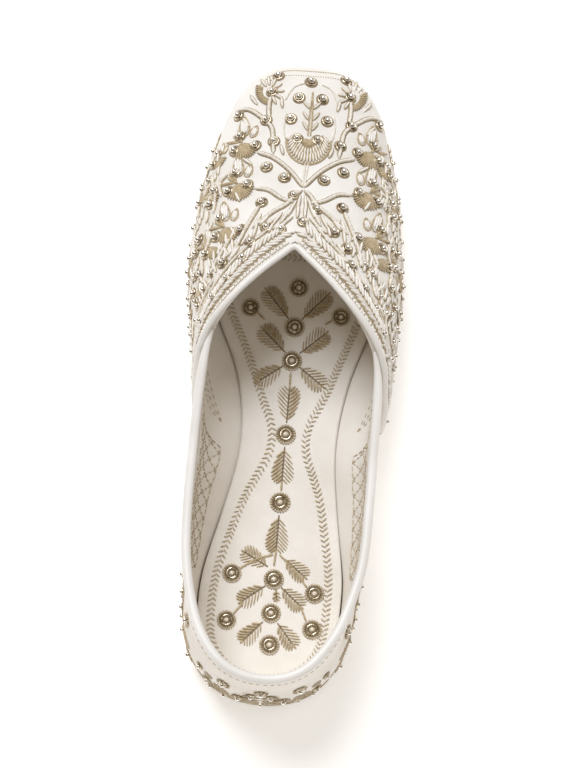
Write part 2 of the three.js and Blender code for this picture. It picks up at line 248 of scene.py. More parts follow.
finishes = {
    # the real thread spacing of 0.25 mm would not show, so it is drawn coarser
    "silk": silkMaterial("off-white dupion silk", "#EAE7E0", "#F3F1EC", 0.62, 0.7),
    "upper": leatherMaterial("ivory kid leather", "#ECE6DC", "#F5F1EA", 0.6, 0.9, 0.06),
    "insole": leatherMaterial("ivory padded lining leather", "#ECE7DE", "#F5F1EA", 0.66, 0.8, 0.05),
    "rim": leatherMaterial("white glazed binding leather", "#ECEAE5", "#F6F4F1", 0.42, 0.8, 0.04,
                           Coat_Weight=0.15, Coat_Roughness=0.35),
    "sole": leatherMaterial("tan vegetable-tanned sole leather", "#8F7C60", "#B7A688", 0.6, 0.7, 0.06),
    "cream": threadMaterial("cream bullion thread", "#EDE8DE", "#FBF9F5", 0.5),
    "cord": threadMaterial("ivory two-ply cord", "#E0D8C8", "#F8F5EE", 0.5),
    "champagne": threadMaterial("champagne twisted thread", "#B3A284", "#D6C9B0", 0.5),
    "tan": threadMaterial("tan satin thread", "#A8946F", "#CDBB98", 0.45),
    # painted shade: this darker tan stands in for the shade in the gaps under the satin and round the beads
    "shade": threadMaterial("painted-shade tan thread", "#8C7A5B", "#B09E7E", 0.5),
    # painted shade: dark lines for the grooves between the insole rosettes' rings and down the middle of the
    # insole leaves
    "bronze": threadMaterial("bronze painted-shade thread", "#6E5B3E", "#94805D", 0.5),
    "gilt": metalMaterial("antique gilt coil wire", "#7C6A50", "#EFE4CC", 0.3),
    "bead": metalMaterial("bright nickel bead", "#D3CDC2", "#F6F3EE", 0.15),
    "pearl": newMaterial("glass pearl", "#EFE8DC", 0.18, Coat_Weight=0.6)[0],
}


# --- surfaces: the CAD nodes' copies, made smooth

surfaces = {  # name, subdivision, sharp edge in degrees and its crease, finish, slot
    "upper": ("upperLeather", 2, 50, 0.7, "upper", "upper leather"),
    "vamp": ("vampSilk", 2, 50, 0.8, "silk", "vamp silk"),
    "insole": ("insoleSock", 2, 60, 0.5, "insole", "insole leather"),
    "topline_binding": ("toplineRim", 1, None, 0, "rim", "edge binding"),
    "vamp_piping": ("vampEdgePiping", 1, None, 0, "rim", "edge binding"),
    "outsole": ("soleLeather", 2, 35, 0.75, "sole", "sole leather"),
}
shaping = {
    "pipingRoll": 0.4,  # mm the rolled leather swells out of its cord
    "quiltPuff": 0.45,  # mm the lining swells between its crossing rows of stitches
    "uncreased": 8,  # mm on each side of the middle plane that no crease reaches
}

# The quilted panel of the lining behind the waist. Its rows of stitches cross, each rising so much on so long
# a run, in mm; low and high are heights over the floor.
quilt = {
    "back": 50,  # mm along where the quilting ends, and where it begins on the rim and on the sock
    "frontAtRim": 108,
    "frontAtSock": 97,
    "low": 13,
    "high": 33,
    "rise": 9.0,
    "run": 6.4,
    "dash": 1.5,
    "gap": 0.5,
    "width": 0.5,
}


def quiltFront(height):
    share = (height - quilt["low"]) / (quilt["high"] - quilt["low"])
    return quilt["frontAtSock"] + (quilt["frontAtRim"] - quilt["frontAtSock"]) * share


# Soft troughs (depth above 0) and ridges (below 0) of the walls: side (1 is the outer), along, height, their
# reach along and up, and depth, all in mm.
creases = [
    (1, 96, 27, 7, 16, 0.7), (1, 78, 30, 9, 12, -0.4), (-1, 94, 26, 7, 16, 0.7), (-1, 74, 31, 10, 12, -0.4),
    (1, 40, 34, 8, 10, 0.4), (-1, 42, 33, 8, 10, 0.4), (1, 150, 30, 6, 14, 0.45), (-1, 152, 30, 6, 14, 0.45),
    (1, 178, 22, 9, 10, 0.35), (-1, 176, 22, 9, 10, 0.35),
]


def creaseWalls(points):
    shift = np.zeros(len(points))
    for side, along, height, reach, rise, depth in creases:
        near = np.exp(-((points[:, 1] - heelBack - along) / reach) ** 2
                      - ((points[:, 2] - height) / rise) ** 2)
        shift += np.where(points[:, 0] * side > shaping["uncreased"], near, 0) * depth
    moved = points.copy()
    moved[:, 0] -= np.sign(points[:, 0]) * shift
    return moved


def puffQuilt(points, normals):
    # the lining's side of the wall swells inwards in the middle of each diamond
    along = points[:, 1] - heelBack - quilt["back"]
    height = points[:, 2] - quilt["low"]
    lining = (points[:, 0] * normals[:, 0] < 0) & (along > 0) & (height > 0)
    lining &= points[:, 1] - heelBack < quiltFront(points[:, 2])
    across, up = along / quilt["run"], height / quilt["rise"]
    puff = np.abs(np.sin(math.pi * (across - up)) * np.sin(math.pi * (across + up))) * lining
    return points + normals * puff[:, None] * shaping["quiltPuff"]


pieces = {}
for node, (name, levels, sharp, crease, _, _) in surfaces.items():
    pieces[node] = copyNode(node, name)
    refine(pieces[node], levels, sharp, crease)
upper, vamp, insole, _, piping, sole = pieces.values()
for wall in (upper, vamp):
    setPoints(wall, creaseWalls(pointsOf(wall)))
setPoints(upper, puffQuilt(pointsOf(upper), normalsOf(upper)))
setPoints(piping, pointsOf(piping) + normalsOf(piping) * shaping["pipingRoll"])

for node, piece in pieces.items():
    smoothShade(piece)
    finish, slot = surfaces[node][-2:]
    piece.data.materials.append(finishes[finish])
    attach(piece, "root")
    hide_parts(node)
print("surfaces done")


# --- charts: ways to say where a stitch goes, each giving (point, outward normal) in mm

vampTree = treeOf(vamp)
outerTree = treeOf(vamp, upper)
upperTree = treeOf(upper)
insoleTree = treeOf(insole)
soleTree = treeOf(sole)

# The wearer's view, looking down past the heel. The flat charts are laid out as they look from here.
view = {"distance": 1300, "tilt": 80.0, "turn": 4.15, "aimHeight": 15, "lens": 158, "drop": -2}
chartFit = {"lean": 0.01, "aside": -0.4, "scale": 0.992, "back": -127, "vampAside": -1}
lookUp = Vector((0, math.sin(math.radians(view["tilt"])), math.cos(math.radians(view["tilt"]))))
lookBack = Vector((0, -lookUp.z, lookUp.y))
aim = Vector((0, 0, view["aimHeight"]))
eye = aim + lookBack * view["distance"]

wallChart = {
    "length": 250,
    "heelTurn": 31,  # the chart turns round the heel over this length, and round the toe past toeTurn
    "toeTurn": 222,
    "wrapHeight": 8,  # of the line that angles round the foot turn about
}


def hit(tree, start, direction, fallback):
    # where a ray meets a surface, or else the spot nearest to the fallback
    point, normal = tree.ray_cast(start, direction)[:2]
    return (point, normal) if point is not None else tree.find_nearest(fallback)[:2]


def seenFrom(tree, across, along):
    flat = (aim + Vector((across + chartFit["lean"] * along + chartFit["aside"], 0, 0))
            + lookUp * (chartFit["scale"] * along + chartFit["back"]))
    return hit(tree, eye, (flat - eye).normalized(), flat)


def onVamp(across, along):
    return seenFrom(vampTree, across + chartFit["vampAside"], along)


def onInsole(across, along):
    return seenFrom(insoleTree, across, along)


def wrapped(along, angle):
    # round the foot: angle in degrees from straight up, positive towards the outer side
    centre = Vector((middleX, heelBack + along, wallChart["wrapHeight"]))
    out = Vector((math.sin(math.radians(angle)), 0, math.cos(math.radians(angle))))
    near = centre + out * 40
    point, normal = hit(vampTree, centre + out * 90, -out, near)
    if (point - centre).dot(out) < 0:  # it passed under the edge and met the far wall
        return vampTree.find_nearest(near)[:2]
    return point, normal


def wallRay(side, along, height):
    # a ray out of the shoe's middle, level with the floor
    heelTurn, toeTurn = wallChart["heelTurn"], wallChart["toeTurn"]
    if along < heelTurn:
        turn, forward, along = 90 * (1 - along / heelTurn), -1, heelTurn
    elif along > toeTurn:
        turn, forward, along = 90 * (along - toeTurn) / (wallChart["length"] - toeTurn), 1, toeTurn
    else:
        turn, forward = 0, 1
    out = Vector((side * math.cos(math.radians(turn)), forward * math.sin(math.radians(turn)), 0))
    return Vector((middleX, heelBack + along, height)), out


def onWall(side, along, height):
    centre, out = wallRay(side, along, height)
    return hit(outerTree, centre + out * 120, -out, centre + out * 35)


def onLining(side, along, height):
    centre, out = wallRay(side, along, height)
    point, normal = hit(upperTree, centre, out, centre + out * 30)
    return point, -normal if normal.dot(out) > 0 else normal


def onSide(chart, side):
    return lambda first, second: chart(side, first, second)


def flipped(chart):
    return lambda first, second: chart(second, first)


def axesAt(point, normal, along):
    # x along the stitch, z out of the surface
    z = normal.normalized()
    x = (along - z * along.dot(z)).normalized()
    return x, z.cross(x), z


# --- stitches and beads: one small shape each, copied many times into one mesh

def takeShape(build, shape=None):
    build()
    obj = bpy.context.object
    points = np.array([vertex.co[:] for vertex in obj.data.vertices])
    faces = [tuple(polygon.vertices) for polygon in obj.data.polygons]
    bpy.data.objects.remove(obj)
    return (shape(points) if shape else points), faces


bullionRings = 10
ringTurns = 24


def windGrain(points):
    # thread wound round a core: every other ring of the grain is pinched; its ends lie on X
    rings = np.round(np.degrees(np.arccos(np.clip(points[:, 2], -1, 1))) / (180 / bullionRings))
    pinch = np.where(rings % 2 == 1, 0.84, 1.0)
    wound = points.copy()
    wound[:, :2] *= pinch[:, None]
    return wound[:, [2, 0, 1]]


def coilRing(points):
    # a ring bent from coiled wire: its turns show as notches
    turn = np.arctan2(points[:, 1], points[:, 0])
    step = np.round(turn / (2 * math.pi / ringTurns))
    middle = np.stack([np.cos(turn), np.sin(turn), np.zeros(len(turn))], 1)
    return middle + (points - middle) * np.where(step % 2 == 0, 1.15, 0.8)[:, None]


def torus(thickness):
    bpy.ops.mesh.primitive_torus_add(major_radius=1, minor_radius=thickness, major_segments=ringTurns,
                                     minor_segments=6)


sphere = bpy.ops.mesh.primitive_uv_sphere_add
shapes = {
    "grain": takeShape(lambda: sphere(segments=6, ring_count=6, radius=1), lambda p: p[:, [2, 0, 1]]),
    "bullion": takeShape(lambda: sphere(segments=7, ring_count=bullionRings, radius=1), windGrain),
    "bead": takeShape(lambda: sphere(segments=12, ring_count=8, radius=1)),
    "coil": takeShape(lambda: torus(0.24), coilRing),
    "hoop": takeShape(lambda: torus(0.12)),
}

piles = {}
longestStitch = 17  # mm; a longer one would hang in the air
shortestStitch = 0.05
hemClearance = 1.3  # mm from the sole's edge, where no needle goes


def overSole(point, reach=hemClearance):
    return soleTree.find_nearest(point)[3] < reach


def addMesh(name, points, faces):
    pile = piles.setdefault(name, {"points": [], "faces": [], "count": 0})
    pile["points"].append(points)
    start = pile["count"]
    pile["faces"] += [tuple(start + i for i in face) for face in faces]
    pile["count"] += len(points)


def place(name, shape, point, axes, size, lift=0.0):
    points, faces = shapes[shape]
    turn = np.array([axis[:] for axis in axes])
    addMesh(name, (points * np.array(size)) @ turn + np.array(point[:]) + turn[2] * lift, faces)


def stack(point, axes, radius, layers):
    # round parts one over another: pile, shape, share of the radius, height and lift in mm
    for pile, shape, share, height, lift in layers:
        place(pile, shape, point, axes, (radius * share, radius * share, height), lift)


def around(point, axes, count):
    # directions all round a spot, flat on the surface
    turns = [2 * math.pi * i / count for i in range(count)]
    return [axes[0] * math.cos(turn) + axes[1] * math.sin(turn) for turn in turns]


def stitch(name, start, end, normal, width, height=0.5, shape="grain", sink=0.3):
    # one thread from start to end, lying on the surface; height is a share of the width
    run = end - start
    if not shortestStitch < run.length < longestStitch or overSole(start) or overSole(end):
        return
    thick = width * height
    place(name, shape, (start + end) / 2, axesAt(start, normal, run),
          (run.length / 2, width / 2, thick), thick * (1 - sink))


def sequin(spot, radius, prefix="vamp"):
    # a bright bead standing in a ring of coiled wire, on a thread ring and disc whose darker tan is painted
    # shade round the bead
    point, normal = spot
    if overSole(point, radius * 1.05):
        return
    stack(point, axesAt(point, normal, Vector((0.3, 1, 0.2))), radius, (
        (prefix + "PaintedShadeSeats", "hoop", 1.0, radius * 1.2, 0.1),
        (prefix + "PaintedShadeSeats", "bead", 0.9, 0.3, 0.0),
        (prefix + "CoilRings", "coil", 0.78, radius * 0.8, 0.45),
        (prefix + "Beads", "bead", 0.56, radius * 0.56, radius * 0.5),
    ))


laidBeads = []


def beadIfClear(spot, radius):
    # a bead is left out where another one already stands
    if all((spot[0] - other).length > 2.1 * radius for other in laidBeads):
        laidBeads.append(spot[0])
        sequin(spot, radius)


def smoothPath(rows, step=0.5):
    # a curve through chart points, evenly sampled
    rows = [np.array(row, float) for row in rows]
    ends = [2 * rows[0] - rows[1]] + rows + [2 * rows[-1] - rows[-2]]
    out = []
    for i in range(1, len(ends) - 2):
        p0, p1, p2, p3 = ends[i - 1:i + 3]
        count = max(2, int(np.linalg.norm(p2 - p1) / step))
        for k in range(count):
            t = k / count
            out.append(0.5 * ((2 * p1) + (p2 - p0) * t + (2 * p0 - 5 * p1 + 4 * p2 - p3) * t * t
                              + (3 * p1 - p0 - 3 * p2 + p3) * t ** 3))
    return out + [rows[-1]]


plyDepth = 0.17  # how far a cord's two plies bulge, as a share of its radius
cordTip = 0.45  # a cord's end, as a share of its radius


def rope(name, spots, radius, pitch=2.6, sides=8, lift=0.5, flat=1.0):
    # a two-ply cord couched on the surface, flat where it is only an underlay
    spots = [spot for spot in spots if not overSole(spot[0])]
    if len(spots) < 3:
        return
    points = [spot[0] for spot in spots]
    rings = []
    distance = 0.0
    last = len(points) - 1
    for i, (point, normal) in enumerate(spots):
        tangent = points[min(i + 1, last)] - points[max(i - 1, 0)]
        if tangent.length < 1e-6:
            continue
        distance += (point - points[i - 1]).length if i else 0
        x, y, z = axesAt(point, normal, tangent)
        taper = min(1.0, cordTip + 1.5 * min(i, last - i) / 4)
        ring = []
        for k in range(sides):
            turn = 2 * math.pi * k / sides
            ply = 1 + plyDepth * math.cos(2 * (turn - math.pi * distance / pitch))
            ring.append(point + z * (radius * lift) + (y * math.cos(turn) + z * math.sin(turn) * flat)
                        * radius * ply * taper)
        rings.append(ring)
    faces = [(i + k, i + (k + 1) % sides, i + sides + (k + 1) % sides, i + sides + k)
             for i in range(0, (len(rings) - 1) * sides, sides) for k in range(sides)]
    end = (len(rings) - 1) * sides
    faces += [tuple(range(sides - 1, -1, -1)), tuple(range(end, end + sides))]
    addMesh(name, np.array([p[:] for ring in rings for p in ring]), faces)


def ropeOn(name, spot, rows, radius, pitch=2.6, step=0.45):
    rope(name, [spot(*row) for row in smoothPath(rows, step)], radius, pitch)


def raisedCord(spots, radius):
    # an ivory cord over a tan underlay that shows as a thin line along both its sides, painted shade along
    # the cord
    rope("vampTanSatinAndPaintedShade", spots[::2], radius + 0.36, 1e6, 6, 0.0, 0.3)
    rope("vampCords", spots, radius, 1.7)


def polar(centre, heading, distance):
    # a chart point at a distance; heading in degrees, 0 along the shoe, 90 across it
    turn = math.radians(heading)
    return centre[0] + distance * math.sin(turn), centre[1] + distance * math.cos(turn)


def chartStitch(name, spot, start, end, width, height=0.5, shape="grain", sink=0.3):
    a, normal = spot(*start)
    b, _ = spot(*end)
    stitch(name, a, b, normal, width, height, shape, sink)


def leaf(spot, start, heading, length, width, pairs, barb, vein, veinRadius, barbWidth):
    # a feathery leaf: a couched vein with slanted barbs on both sides, longest in its middle
    ropeOn(vein, spot, [polar(start, heading, length * share) for share in (0, 0.5, 1)], veinRadius)
    for i in range(pairs):
        t = (i + 0.4) / pairs
        root = polar(start, heading, length * (0.06 + 0.86 * t))
        reach = width / 2 * math.sin(math.pi * (0.16 + 0.76 * t)) ** 0.8 / math.sin(math.radians(48))
        for sign, thread in ((-1, barbWidth * 0.75), (1, barbWidth * 1.15)):
            chartStitch(barb, spot, root, polar(root, heading + sign * 46, reach), thread, 0.45)
    chartStitch(barb, spot, polar(start, heading, length * 0.9), polar(start, heading, length * 1.06),
                barbWidth)


def fan(spot, centre, heading, radius, spread, inner=0.12, pitch=1.05):
    # satin stitches side by side in a shell, over darker ones that show between them as painted shade in the
    # gaps
    count = max(4, round(radius * math.radians(2 * spread) / pitch))
    for layer, width, height, grow in (("vampPaintedShadeUnderlay", pitch * 1.5, 0.16, 0.3),
                                       ("vampTanSatinAndPaintedShade", pitch * 0.86, 0.5, 0.0)):
        for i in range(count + 1):
            turn = heading - spread + 2 * spread * i / count
            chartStitch(layer, spot, polar(centre, turn, radius * inner),
                        polar(centre, turn, radius + grow), width, height)


def petal(spot, start, heading, length, width):
    # a pointed bullion leaf, cream over a slightly larger tan one whose rim is painted shade round it
    chartStitch("vampTanSatinAndPaintedShade", spot, polar(start, heading, -0.35), polar(start, heading, length + 0.45),
                width + 0.7, 0.2, "grain", 0.2)
    chartStitch("vampLeaves", spot, start, polar(start, heading, length), width, 0.55, "bullion", 0.15)


def openPetal(spot, start, heading, length, width):
    # a padded cream petal inside a tan outline, narrower towards its tip
    middle = polar(start, heading, length / 2)
    edge = []
    for i in range(13):
        turn = 2 * math.pi * i / 12
        ahead, aside = -math.cos(turn) * length / 2, math.sin(turn) * width / 2
        aside *= 1 - 0.5 * max(0, 2 * ahead / length)
        edge.append(polar(polar(middle, heading, ahead), heading + 90, aside))
    ropeOn("vampTanSatinAndPaintedShade", spot, edge, 0.32, 1.6, 0.6)
    for share in (-0.22, 0.0, 0.22):
        root = polar(polar(start, heading, length * (0.1 + abs(share) * 0.4)), heading + 90, width * share)
        chartStitch("vampLeaves", spot, root, polar(root, heading, length * (0.8 - abs(share) * 0.8)),
                    width * 0.36, 0.4, "bullion", 0.2)


# --- vamp embroidery, charted as (across, along) in mm from the shoe's middle line and heel

vampChart = {
    "sequins": [  # each on both sides of the middle line
        (13, 245), (15, 238.7), (4.5, 237.2), (27, 228.5), (7, 228.8), (16.4, 227.6), (3.9, 221.2),
        (25.8, 220.6), (12.8, 219.6), (19.8, 217.4), (27.6, 214.8), (14.8, 209.4), (7.6, 205.8),
        (26.6, 206.2), (21.6, 202), (28.6, 198.9), (15.6, 195.6), (35, 193.5), (34, 198.6), (13, 186),
        (31, 188.2), (22.8, 184.5), (32, 181), (18.6, 180), (38, 179.4), (20.9, 173.6), (35.4, 174),
        (28.6, 171), (26.8, 165.2), (36.6, 166.2), (31.3, 157.7), (38.6, 158.6), (35, 148.3), (38.4, 138.6),
    ],
    "middleSequins": [(-0.4, 243.6, 2.4), (0.9, 189, 2.1), (-7.4, 185.6, 2.1), (6, 194.2, 2.1),
                      (-3.5, 199.2, 2.1)],
    "stems": [  # couched cords, both sides
        [(0, 202.6), (5.8, 208.8), (12.4, 213.2), (18.8, 215)],
        [(3.4, 196.6), (8.2, 197.8), (13.5, 200.6), (19, 200.9)],
        [(0.4, 201.6), (3, 199.4), (6, 195.6), (10.4, 192.6), (14.6, 189), (18.6, 185.4)],
        [(16.4, 194), (18.8, 189.4), (21.2, 184.4), (23.2, 179.4), (26.2, 171.8)],
        [(28, 230.4), (23.4, 231.2), (18.6, 228.8), (14.2, 225), (13.2, 219.6), (12.6, 214.8)],
        [(15.4, 236.8), (15.8, 232.6), (15.4, 228.6)],
        [(33, 208), (35, 203), (33.4, 197), (33.8, 190)],
        [(29.6, 205.6), (32.2, 201.6), (31.2, 196.6)],
        [(26.6, 180.6), (29.4, 174.8), (32, 169), (33.4, 162)],
        [(35.6, 186), (34.6, 179), (36.4, 172), (35.8, 166)],
        [(29.6, 167), (33.2, 160.6), (35.2, 154.4), (36.6, 145.6)],
    ],
    "buds": [  # middle of the shell, the way it bulges in degrees, radius, half spread
        ((25.2, 218.5), 205, 6.8, 48), ((25.9, 202.6), 209, 7.1, 51), ((29.4, 185.2), 212, 6.7, 48),
        ((36.4, 197.2), 222, 4.4, 48), ((34.6, 177), 214, 5, 46), ((35.8, 157), 214, 4.6, 46),
    ],
    "cornerFlower": {"at": (15.9, 239), "radius": 5.5, "heading": 128, "spread": 56},
}


def bothSides(spot):
    return [lambda a, l, s=side: spot(s * a, l) for side in (-1, 1)]


def bud(spot, centre, heading, radius, spread):
    # a pomegranate bud: a satin shell, three points over it and two open petals beyond
    mouth = heading + 180
    fan(spot, centre, heading, radius, spread)
    for lean, reach in ((-4, 0.7), (36, 0.55), (78, 0.85)):
        chartStitch("vampTanSatinAndPaintedShade", spot, polar(centre, mouth + lean, -radius * 0.1),
                    polar(centre, mouth + lean, radius * reach), 1.5, 0.35)
    for bearing, out, lean, length, width in ((-84, 0.6, -50, 0.74, 0.4), (-48, 0.34, -22, 1.12, 0.56)):
        openPetal(spot, polar(centre, mouth + bearing, radius * out), mouth + lean, radius * length,
                  radius * width)


for spot in bothSides(onVamp):
    for across, along in vampChart["sequins"]:
        beadIfClear(spot(across, along), 2.3 if along > 170 else 2.0)
    for rows in vampChart["stems"]:
        raisedCord([spot(*row) for row in smoothPath(rows, 0.4)], 0.6)
    for item in vampChart["buds"]:
        bud(spot, *item)
    corner = vampChart["cornerFlower"]
    fan(spot, corner["at"], corner["heading"], corner["radius"], corner["spread"], 0.5, 0.9)
    for i in range(7):
        turn = corner["heading"] + 82 + i * 32
        petal(spot, polar(corner["at"], turn, 2.3), turn, 3.0, 1.0)
for across, along, radius in vampChart["middleSequins"]:
    sequin(onVamp(across, along), radius)

# the lotus cup on the middle line: rows of slender petals inside its rim, a tan heart and a leafy stem
lotus = {
    "centre": (0.5, 220.2),
    "radius": 8.2,
    "rows": ((21, 0.96, 3.6), (13, 0.6, 2.6)),  # petals, where they start as a share of the radius, length
    "spread": 92,
    "rimStep": 16.4,  # degrees
    "heart": ((0.5, 221.6), 3.4),
    "stemLeaves": ((225, 34), (229, 38), (233.4, 44)),  # along, heading
}
for count, start, length in lotus["rows"]:
    for i in range(count):
        share = (i - (count - 1) / 2) / ((count - 1) / 2)
        turn = 180 + share * lotus["spread"]
        petal(onVamp, polar(lotus["centre"], turn, lotus["radius"] * start), turn + 180 - share * 46,
              length, 0.8)
cupEdge = [polar(lotus["centre"], 180 + i * lotus["rimStep"], lotus["radius"] * 1.05) for i in range(-6, 7)]
ropeOn("vampTanSatinAndPaintedShade", onVamp, cupEdge, 0.42, 1.8)
fan(onVamp, lotus["heart"][0], 180, lotus["heart"][1], 72, 0.1, 0.8)
for side in (-1, 1):
    for reach, radius in ((((3.4, 243), (7.4, 241), (10.2, 236)), 0.4),
                          (((9, 221), (9.8, 226), (9.2, 231)), 0.36)):
        ropeOn("vampCords", onVamp, [(0.4 + side * across, along) for across, along in reach], radius)
    stem = [(0.5 + side * 0.5, 222.6), (0.6 + side * 0.5, 231), (0.6, 240)]
    ropeOn("vampTanSatinAndPaintedShade", onVamp, stem, 0.32, 1.6)
    for along, heading in lotus["stemLeaves"]:
        petal(onVamp, (0.6 + side * 0.9, along), side * heading, 3.4, 0.85)
for side in (-1, 1):
    foot = [(0.4 + side * 0.6, 212), (0.1 + side * 0.5, 207.4), (side * 0.3, 202.4)]
    ropeOn("vampCords", onVamp, foot, 0.42)

# two rows of small stitches round the front of the toe
toeRows = {"rows": ((1.4, 1.3), (3.2, 0.9)), "count": 22, "step": 0.95, "front": 249.2, "bend": 7, "half": 20}
for offset, length in toeRows["rows"]:
    for i in range(-toeRows["count"], toeRows["count"] + 1):
        across = i * toeRows["step"] + 0.5
        along = toeRows["front"] - offset - (abs(across) / toeRows["half"]) ** 4 * toeRows["bend"]
        slant = -4 * toeRows["bend"] * across ** 3 / toeRows["half"] ** 4
        chartStitch("vampTanSatinAndPaintedShade", onVamp, (across - length / 2, along - slant * length / 2),
                    (across + length / 2 - 0.4, along + slant * (length / 2 - 0.4)), 0.42, 0.4)

# long leaves below the branching point, on both sides of the peak
for spot in bothSides(onVamp):
    for start, heading, length in (
        ((0.9, 199.4), 172, 6.4), ((2.4, 197.2), 156, 6.8), ((1.2, 195), 176, 4.4), ((4.6, 193.4), 150, 6.4),
        ((3.2, 190.8), 132, 5.6), ((7.4, 192.2), 148, 6), ((9.2, 190.6), 136, 5.6), ((5.6, 188), 118, 5.6),
        ((10.6, 187.6), 160, 3.6), ((8.6, 185), 126, 5.4), ((15.4, 191), 158, 5.6), ((16.6, 186.8), 168, 5),
        ((12.6, 190.2), 140, 4.6), ((14.6, 181.4), 140, 5), ((19.6, 182.6), 150, 4.8),
        ((22.6, 178), 152, 5.4),
        ((24.8, 176.4), 138, 4.4), ((22.6, 170.6), 150, 5), ((29, 178.4), 156, 4.6),
        ((29.6, 166.4), 160, 4.6),
        ((33.6, 186.2), 160, 4.6), ((24, 195.4), 30, 3.8), ((20.6, 210), 60, 4), ((22.6, 224.6), 40, 3.8),
        ((8.8, 214.8), 20, 3.6), ((10.6, 233), 10, 4), ((20.4, 233.4), 40, 4),
    ):
        petal(spot, start, heading, length, 1.15)
print("vamp front done")


# --- the border along the vamp's rear edge, from one wing tip over the peak to the other

# the same rows as the vamp's own edge: degrees round the foot, mm along
vampEdge = [(0, 172), (13, 163.3), (23, 154.5), (36, 140.3), (46, 128.8), (56, 118.8), (70, 108.5),
            (98, 96.3)]
border = {
    "firstAngle": 2,
    "lastAngle": 97,
    "samples": 239,
    "ahead": 1.2,  # mm from the edge where the search for the vamp's outer face starts
    "farthest": 13,
    "facesBack": -0.22,  # a normal with less Y than this is still on the edge's turn
    "chain": 1.7,  # mm from the edge to the chain stitch
    "secondChain": 3.2,
    "leaves": 6.4,  # to the middle of the leaf rows
    "innerCord": 11.2,
    "wingLeaves": (14.6, 19.4),  # two more rows, only down the wings
    "wingBeads": 17.2,
    "wingStart": 21,  # mm across from the middle line where they begin
    "leafLength": 6.2,
    "leafLean": math.radians(33),
}


def edgeStart(side, angle):
    # the first spot on the vamp's outer face, going forward from its rear edge
    ahead = border["ahead"]
    spot = wrapped(rowValue(vampEdge, angle) + ahead, side * angle)
    while spot[1].y < border["facesBack"] and ahead < border["farthest"]:
        ahead += 0.6
        spot = wrapped(rowValue(vampEdge, angle) + ahead, side * angle)
    return spot


def landed(point):
    return vampTree.find_nearest(point)[:2]


def edgeWalk(side, offset, step):
    # points at a distance from the edge: (point, normal, direction along the edge, direction inwards)
    first, last, count = border["firstAngle"], border["lastAngle"], border["samples"]
    samples = [edgeStart(side, first + (last - first) * k / count) for k in range(count + 1)]
    walked = []
    due = distance = 0.0
    for k in range(1, count):
        point, normal = samples[k]
        distance += (point - samples[k - 1][0]).length
        if distance < due:
            continue
        due += step
        tangent = (samples[k + 1][0] - samples[k - 1][0]).normalized()
        inward = tangent.cross(normal) * side
        if inward.y < -0.2:
            inward = -inward
        near, nearNormal = landed(point + inward * (offset - border["ahead"]))
        walked.append((near, normal if nearNormal.dot(normal) < 0 else nearNormal, tangent, inward))
    return walked


def chainLoop(i, point, normal, tangent, inward):
    for sign in (-1, 1):
        end = point + tangent * 1.6 + inward * 0.5 * sign
        # the wider tan stitch under each cream one is painted shade round the loop
        stitch("vampTanSatinAndPaintedShade", point, end, normal, 1.2, 0.18)
        stitch("vampLeaves", point, end, normal, 0.72, 0.55)


def zigzag(i, point, normal, tangent, inward):
    aside = inward * 0.6 * (1 if i % 2 else -1)
    stitch("vampTanSatinAndPaintedShade", point - aside, point + aside + tangent * 0.9, normal, 0.55)


def leafPair(i, point, normal, tangent, inward):
    size = border["leafLength"] * (0.92 + 0.08 * math.sin(i * 2.1))
    for sign in (-1, 1):
        heading = -tangent * math.cos(border["leafLean"]) + inward * sign * math.sin(border["leafLean"])
        root = point + inward * sign * 0.25
        tip = landed(root + heading * size * 0.92)[0]
        # the wider tan stitch under the cream leaf is painted shade round it
        stitch("vampTanSatinAndPaintedShade", root - heading * 0.3, tip, normal, 1.85, 0.2)
        stitch("vampLeaves", root, tip, normal, 1.2, 0.58, "bullion", 0.1)


def wingLeaf(i, point, normal, tangent, inward):
    if abs(point.x - middleX) < border["wingStart"]:
        return
    heading = (inward * math.cos(0.5 * i % 1.1) - tangent * (1.2 - 0.5 * (i % 3))).normalized()
    tip = landed(point + heading * 5.2)[0]
    # the wider tan stitch under the cream leaf is painted shade round it
    stitch("vampTanSatinAndPaintedShade", point - heading * 0.3, tip + heading * 0.4, normal, 1.7, 0.2)
    stitch("vampLeaves", point, tip, normal, 1.05, 0.55, "bullion", 0.1)


def wingBead(i, point, normal, tangent, inward):
    if abs(point.x - middleX) > border["wingStart"] + 6:
        beadIfClear((point, normal), 1.9)


borderRows = [(offset, 2.5, wingLeaf) for offset in border["wingLeaves"]] + [  # offset, step, stitch
    (border["wingBeads"], 7.5, wingBead), (border["chain"], 1.5, chainLoop),
    (border["secondChain"], 0.95, zigzag), (border["leaves"], 2.05, leafPair),
]
for side in (-1, 1):
    for offset, step, lay in borderRows:
        for i, walked in enumerate(edgeWalk(side, offset, step)):
            lay(i, *walked)
    raisedCord([walked[:2] for walked in edgeWalk(side, border["innerCord"], 0.5)], 0.5)
print("edge border done")


# --- the sides of the vamp down to the sole, charted as (along, angle round the foot)

